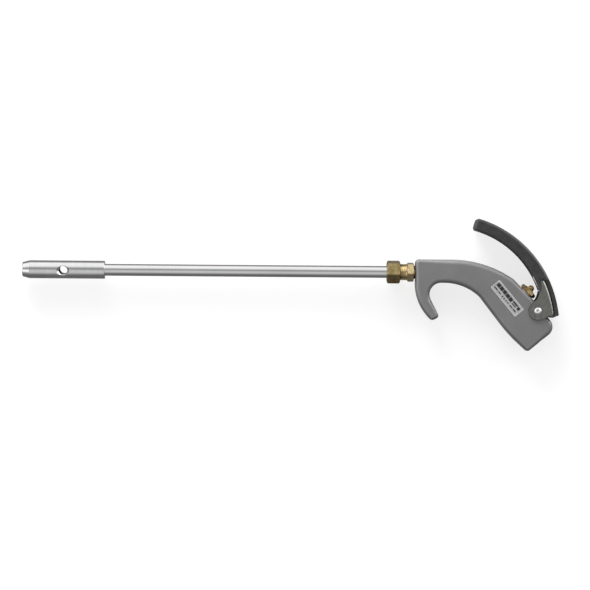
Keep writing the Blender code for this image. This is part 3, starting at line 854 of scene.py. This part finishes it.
def lever_ring(angle, low, high, half, outer_round, inner_round):
    """A rounded rectangle across the lever at an angle: low to high from the outer centre."""
    corners = [
        (low, -half, inner_round),
        (high, -half, outer_round),
        (high, half, outer_round),
        (low, half, inner_round),
    ]
    outline = []
    steps = 7
    for start, (reach, across, rounding) in zip((180, 270, 0, 90), corners):
        middle = reach + (rounding if reach == low else -rounding)
        inwards = across + (rounding if across < 0 else -rounding)
        for k in range(steps + 1):
            a = math.radians(start + 90 * k / steps)
            outline.append((middle + rounding * math.cos(a), inwards + rounding * math.sin(a)))
    a = math.radians(angle)
    return [
        (OUTER_CENTRE.x + reach * math.cos(a), across, OUTER_CENTRE.y + reach * math.sin(a))
        for reach, across in outline
    ]


def spread(start, end, count):
    """Evenly spaced values from start to end, with count steps."""
    return [start + (end - start) * i / count for i in range(count + 1)]


def build_grip():
    """Dipped cushion: a sleeve over the arm that goes on as a strip and a lip below its notch."""
    rings = []
    for angle in spread(GRIP_FOOT, GRIP_TIP - GRIP_END, 96):
        low = inner_reach(angle, GRIP_INNER)
        rings.append(lever_ring(angle, low, GRIP_OUTER, GRIP_HALF, *GRIP_ROUNDS))
    for i in range(1, 9):
        turn = math.radians(90 * i / 8)
        angle = GRIP_TIP - GRIP_END * (1 - math.sin(turn))
        inset = 3.2 * (1 - math.cos(turn))
        low = inner_reach(angle, GRIP_INNER) + inset
        rings.append(lever_ring(angle, low, GRIP_OUTER - inset, GRIP_HALF - inset, *GRIP_ROUNDS))
    grip = skinned("grip", rings, BODY)
    pocket = []
    for angle in spread(8, ARM_TIP + 0.3, 80):
        low = inner_reach(angle, ARM_INNER - GAP)
        pocket.append(lever_ring(angle, low, ARM_OUTER + 0.4, ARM_HALF + GAP, 2.2, 0.3))
    hollow = STEEL + GAP
    lining = [
        lever_ring(angle, 80, ARM_OUTER - hollow, ARM_HALF - hollow, 0.8, 0.3)
        for angle in spread(4, ARM_TIP + 1, 80)
    ]
    slot = [
        lever_ring(angle, 85, ARM_OUTER - 3, 8.6, 0.3, 0.3)
        for angle in spread(4, ARM_TIP - 2, 80)
    ]
    below = [(128.5, -18.1), (132.6, -18.4), (133.2, -17.6), (133.3, -12.5), (133.0, -8.5)]
    below += [(133.4, -7.0), (134.6, -6.6)]
    below += arc(OUTER_CENTRE, GRIP_EDGE, NOTCH, 0)
    below += [(140.0, -90.0), (80.0, -60.0)]
    below_cut = slab("below_cut", below, 20.0)
    pocket_cut = skinned("pocket_cut", pocket, BODY)
    combine(pocket_cut, "DIFFERENCE", skinned("lining", lining, BODY))
    combine(grip, "DIFFERENCE", below_cut, pocket_cut, skinned("slot_cut", slot, BODY))
    sides = arc(OUTER_CENTRE, GRIP_EDGE - 1, NOTCH, 0)
    sides += arc(OUTER_CENTRE, GRIP_OUTER + 2, 0, NOTCH)
    for side in (-1, 1):
        ends = sorted((side * STRIP_HALF, side * 20.0))
        combine(grip, "DIFFERENCE", slab("side_cut", sides, ends[1], near=ends[0]))
    toe = [(152.0, -42.6), (152.15, -44.2), (151.6, -44.9), (145.5, -47.5), (144.0, -47.3)]
    toe += [(141.3, -46.4), (141.7, -44.7), (145.6, -45.55), (147.6, -44.4), (148.1, -42.9)]
    combine(grip, "UNION", bevelled(slab("toe", toe, ARM_HALF + 0.9), 0.4, 2))
    return shown(grip, "lever", "black_vinyl", VINYL, "lever_grip")


def arm_outline(inset, shrink=0.0):
    """The steel's side view, its outer edge moved in by inset and its lobe's edge by shrink."""
    foot = arc(OUTER_CENTRE, ARM_OUTER - inset, ARM_FOOT, ARM_TIP, 0.05)
    inner = arc(INNER_CENTRE, ARM_INNER, ARM_TIP - 0.5, 19.0, 0.05)
    throat = [(131.6, -19.4), (131.5, -20.4), (131.2, -22.0), (130.2, -25.0), (128.9, -27.6)]
    share = 1 - shrink / LOBE_RADIUS
    lobe = [
        (PIVOT.x + (x - PIVOT.x) * share, PIVOT.z + (z - PIVOT.z) * share)
        for x, z in arc((PIVOT.x, PIVOT.z), LOBE_RADIUS, 132.0, 292.0)
    ]
    heel = [(137.5, -47.7), (140.9, -46.2), (141.5, -44.6), (145.4, -45.5)]
    return foot + inner + throat + lobe + heel


def build_arm():
    """Pressed steel channel: rounded bends along its back and two ears at the pivot."""
    outside = []
    for i in range(9):
        turn = math.radians(90 * (1 - i / 8))
        down = ARM_BEND * (1 - math.sin(turn))
        inset = ARM_BEND * (1 - math.cos(turn))
        shrink = LOBE_BEVEL * max(0.0, 1 - down / STEEL)
        outside.append((ARM_HALF - down, arm_outline(inset, shrink)))
    arm = layered("arm", outside)
    inside = []
    radius = ARM_BEND - STEEL
    for i in range(5):
        turn = math.radians(90 * (1 - i / 4))
        reach = ARM_OUTER - STEEL - radius * (1 - math.cos(turn))
        depth = ARM_HALF - STEEL - radius * (1 - math.sin(turn))
        web = arc(OUTER_CENTRE, reach, -20, 90, 0.05)
        inside.append((depth, web + [(30.0, 20.0), (80.0, -70.0)]))
    combine(arm, "DIFFERENCE", layered("arm_cut", inside), rivet_bore("arm_bore_cut"))
    bevelled(arm, 0.22)
    return shown(arm, "lever", "plated_steel", PLATED, "lever_arm")


def build_pad():
    """Nylon block in the channel that meets the button."""
    back = arc(OUTER_CENTRE, ARM_OUTER - STEEL - GAP, 20.5, 34.0)
    pad = slab("pad", back + [(126.0, -4.8), (133.2, -18.4)], 8.2)
    bevelled(pad, 0.7, 3)
    return shown(pad, "lever", "nylon", NYLON, "thrust_pad")


def build_rivet():
    """Pivot rivet: dimpled dome on the near side, rolled tail on the far side."""
    face = ARM_HALF + GAP
    head = [(0, 0.25), (0.5, 0.3), (1.7, 1.4), (2.0, 1.4), (3.7, 0.3), (3.8, 0), (RIVET_RADIUS, 0)]
    tail = [(RIVET_RADIUS, 0), (3.6, 0), (3.4, 0.7), (2.5, 1.15), (1.4, 1.2), (0.9, 0.9), (0, 0.8)]
    profile = [(radius, face + rise) for radius, rise in head]
    profile += [(radius, -face - rise) for radius, rise in tail]
    profile = filleted(profile, 0.3, False, 3)
    piece = spun("rivet", profile, RIVET_AXES, False)
    return shown(piece, "handle", "bright_steel", BRIGHT, "pivot_rivet")


# ---------------------------------------------------------------- hidden CAD nodes

KEPT = {
    "compression_ferrule": BRASS,
    "nozzle_jet": BRASS,
    "bonnet_washer": FIBRE,
    "bonnet_seal": RUBBER,
    "stem_packing": RUBBER,
    "valve_stem": BRIGHT,
    "poppet_seal": RUBBER,
    "poppet_cup": BRASS,
    "poppet_nut": BRIGHT,
    "pad_rivet": BRIGHT,
}


def finish_kept_nodes():
    """Gives the small hidden pieces that are shown as they are in the CAD their materials."""
    for name, surface in KEPT.items():
        node = frame["nodes"][name]
        node.data.materials.clear()
        node.data.materials.append(surface)


# ---------------------------------------------------------------- studio


def build_world():
    """A soft studio round the gun: light falls off with the angle about the barrel."""
    world = bpy.data.worlds.new("studio")
    bpy.context.scene.world = world
    world.use_nodes = True
    tree = world.node_tree
    tree.nodes.clear()

    def node(kind, **settings):
        made = tree.nodes.new(kind)
        for name, value in settings.items():
            setattr(made, name, value)
        return made

    output = node("ShaderNodeOutputWorld")
    place = node("ShaderNodeTexCoord")
    parts = node("ShaderNodeSeparateXYZ")
    back = node("ShaderNodeMath", operation="MULTIPLY")
    back.inputs[1].default_value = -1.0
    around = node("ShaderNodeMath", operation="ARCTAN2")
    share = node("ShaderNodeMapRange")
    share.inputs["From Min"].default_value = -math.pi
    share.inputs["From Max"].default_value = math.pi
    ramp = node("ShaderNodeValToRGB")
    stops = [  # degrees about the barrel from the photo's side upwards, and the brightness there
        (-180, 0.24),
        (-128, 0.13),
        (-95, 0.12),
        (-74, 0.15),
        (-55, 0.35),
        (-38, 0.55),
        (-18, 0.56),
        (-6, 0.46),
        (3, 0.29),
        (19, 0.29),
        (30, 0.64),
        (44, 0.88),
        (90, 0.96),
        (100, 0.42),
        (112, 0.22),
        (135, 0.20),
        (155, 0.27),
        (180, 0.24),
    ]
    elements = ramp.color_ramp.elements
    while len(elements) < len(stops):
        elements.new(0.5)
    for element, (angle, value) in zip(elements, stops):
        element.position = (angle + 180) / 360
        element.color = (value, value, value, 1.0)
    side = node("ShaderNodeMapRange")
    side.inputs["From Min"].default_value = -1.0
    side.inputs["From Max"].default_value = 1.0
    side.inputs["To Min"].default_value = 1.5
    side.inputs["To Max"].default_value = 1.0
    strength = node("ShaderNodeMath", operation="MULTIPLY")
    light = node("ShaderNodeBackground")
    light.inputs["Color"].default_value = (1, 1, 1, 1)
    white = node("ShaderNodeBackground")
    white.inputs["Color"].default_value = (1, 1, 1, 1)
    white.inputs["Strength"].default_value = WHITE
    seen = node("ShaderNodeLightPath")
    mix = node("ShaderNodeMixShader")
    link = tree.links.new
    link(place.outputs["Generated"], parts.inputs[0])
    link(parts.outputs["Y"], back.inputs[0])
    link(parts.outputs["Z"], around.inputs[0])
    link(back.outputs[0], around.inputs[1])
    link(around.outputs[0], share.inputs["Value"])
    link(share.outputs["Result"], ramp.inputs["Fac"])
    link(parts.outputs["X"], side.inputs["Value"])
    link(side.outputs["Result"], strength.inputs[0])
    link(ramp.outputs["Color"], strength.inputs[1])
    total = strength.outputs[0]
    panels = [  # direction of its middle, cosine of its reach, brightness
        ((0.83, -0.14, 0.54), 0.84, 2.2),
        ((-0.96, -0.10, 0.14), 0.78, 0.9),
        ((-0.58, -0.74, -0.34), 0.94, 0.5),
    ]
    for middle, reach, brightness in panels:
        panel = node("ShaderNodeVectorMath", operation="DOT_PRODUCT")
        panel.inputs[1].default_value = Vector(middle).normalized()
        glow = node("ShaderNodeMapRange", interpolation_type="SMOOTHSTEP")
        glow.inputs["From Min"].default_value = reach
        glow.inputs["From Max"].default_value = reach + (1 - reach) * 0.8
        glow.inputs["To Max"].default_value = brightness
        added = node("ShaderNodeMath", operation="ADD")
        link(place.outputs["Generated"], panel.inputs[0])
        link(panel.outputs["Value"], glow.inputs["Value"])
        link(total, added.inputs[0])
        link(glow.outputs["Result"], added.inputs[1])
        total = added.outputs[0]
    link(total, light.inputs["Strength"])
    link(seen.outputs["Is Camera Ray"], mix.inputs["Fac"])
    link(light.outputs[0], mix.inputs[1])
    link(white.outputs[0], mix.inputs[2])
    link(mix.outputs[0], output.inputs["Surface"])


def build_light(name, towards, energy):
    """A large soft light on one side of the gun. It isn't mirrored in the metal."""
    towards = Vector(towards).normalized()
    light = bpy.data.lights.new(name, "AREA")
    light.shape = "SQUARE"
    light.size = LIGHT_SIZE
    light.energy = energy
    lamp = bpy.data.objects.new(name, light)
    lamp.location = GUN + towards * LIGHT_DISTANCE
    lamp.rotation_euler = towards.to_track_quat("Z", "Y").to_euler()
    lamp.visible_glossy = False
    lamp.visible_camera = False
    bpy.context.scene.collection.objects.link(lamp)


def sheet(name, material, half, at):
    """A large flat square; at(a, b) gives its corners, with a and b at -half or half."""
    bm = bmesh.new()
    corners = [(-half, -half), (half, -half), (half, half), (-half, half)]
    bm.faces.new([bm.verts.new(at(*corner)) for corner in corners])
    mesh = bpy.data.meshes.new(name)
    bm.to_mesh(mesh)
    bm.free()
    mesh.materials.append(material)
    made = bpy.data.objects.new(name, mesh)
    bpy.context.scene.collection.objects.link(made)
    made.visible_glossy = False
    made.visible_diffuse = False
    return made


def white_material(name, base, emission):
    """A matt white that also glows, so that it comes out as pale as in the photograph."""
    material = bpy.data.materials.new(name)
    material.use_nodes = True
    shader = material.node_tree.nodes["Principled BSDF"]
    shader.inputs["Base Color"].default_value = (base, base, base, 1)
    shader.inputs["Roughness"].default_value = 1.0
    shader.inputs["Specular IOR Level"].default_value = 0.0
    shader.inputs["Emission Color"].default_value = (1, 1, 1, 1)
    shader.inputs["Emission Strength"].default_value = emission
    return material


def build_floor():
    """Pale floor well below the gun, outside the photograph's frame."""
    level = CAD_BOX[0][2] - FLOOR_DROP
    material = white_material("pale_floor", 0.5, 0.72)
    floor = sheet("floor", material, 6.0, lambda x, y: (x, y, level))


def build_backdrop():
    """White sheet close behind the gun, which takes its faint shadow. It is clear from behind."""
    material = white_material("white_sheet", 0.35, 0.69)
    tree = material.node_tree
    side = tree.nodes.new("ShaderNodeNewGeometry")
    clear = tree.nodes.new("ShaderNodeBsdfTransparent")
    mix = tree.nodes.new("ShaderNodeMixShader")
    tree.links.new(side.outputs["Backfacing"], mix.inputs["Fac"])
    tree.links.new(tree.nodes["Principled BSDF"].outputs[0], mix.inputs[1])
    tree.links.new(clear.outputs[0], mix.inputs[2])
    tree.links.new(mix.outputs[0], tree.nodes["Material Output"].inputs["Surface"])
    backdrop = sheet("backdrop", material, 5.0, lambda x, z: (x, SHEET_BEHIND, z))
    backdrop.visible_shadow = False


def build_camera():
    """Looks along +Y at the middle of the gun, rolled a little so the barrel dips to the right."""
    aim = (-128.0, -25.3)
    distance = 2500.0
    width = 629.0
    sensor = 36.0
    roll = -0.45
    data = bpy.data.cameras.new("camera")
    data.sensor_width = sensor
    data.lens = sensor * distance / width
    data.clip_end = 50.0
    camera = bpy.data.objects.new("camera", data)
    camera.location = GUN + Vector((aim[0], -distance, aim[1])) * MM
    camera.rotation_euler = (math.radians(90), math.radians(roll), 0.0)
    bpy.context.scene.collection.objects.link(camera)
    bpy.context.scene.camera = camera


build_camera()
build_casting()
build_plate()
build_connector()
build_nut()
build_tube()
build_tip()
build_bonnet()
build_button()
build_spring()
build_grip()
build_arm()
build_pad()
build_rivet()
finish_kept_nodes()
build_world()
build_light("key", (-0.3, -0.22, 0.93), 56.0)
build_light("back_fill", (0.25, 0.8, 0.55), 34.0)
build_floor()
build_backdrop()
bpy.context.scene.view_settings.view_transform = "Standard"
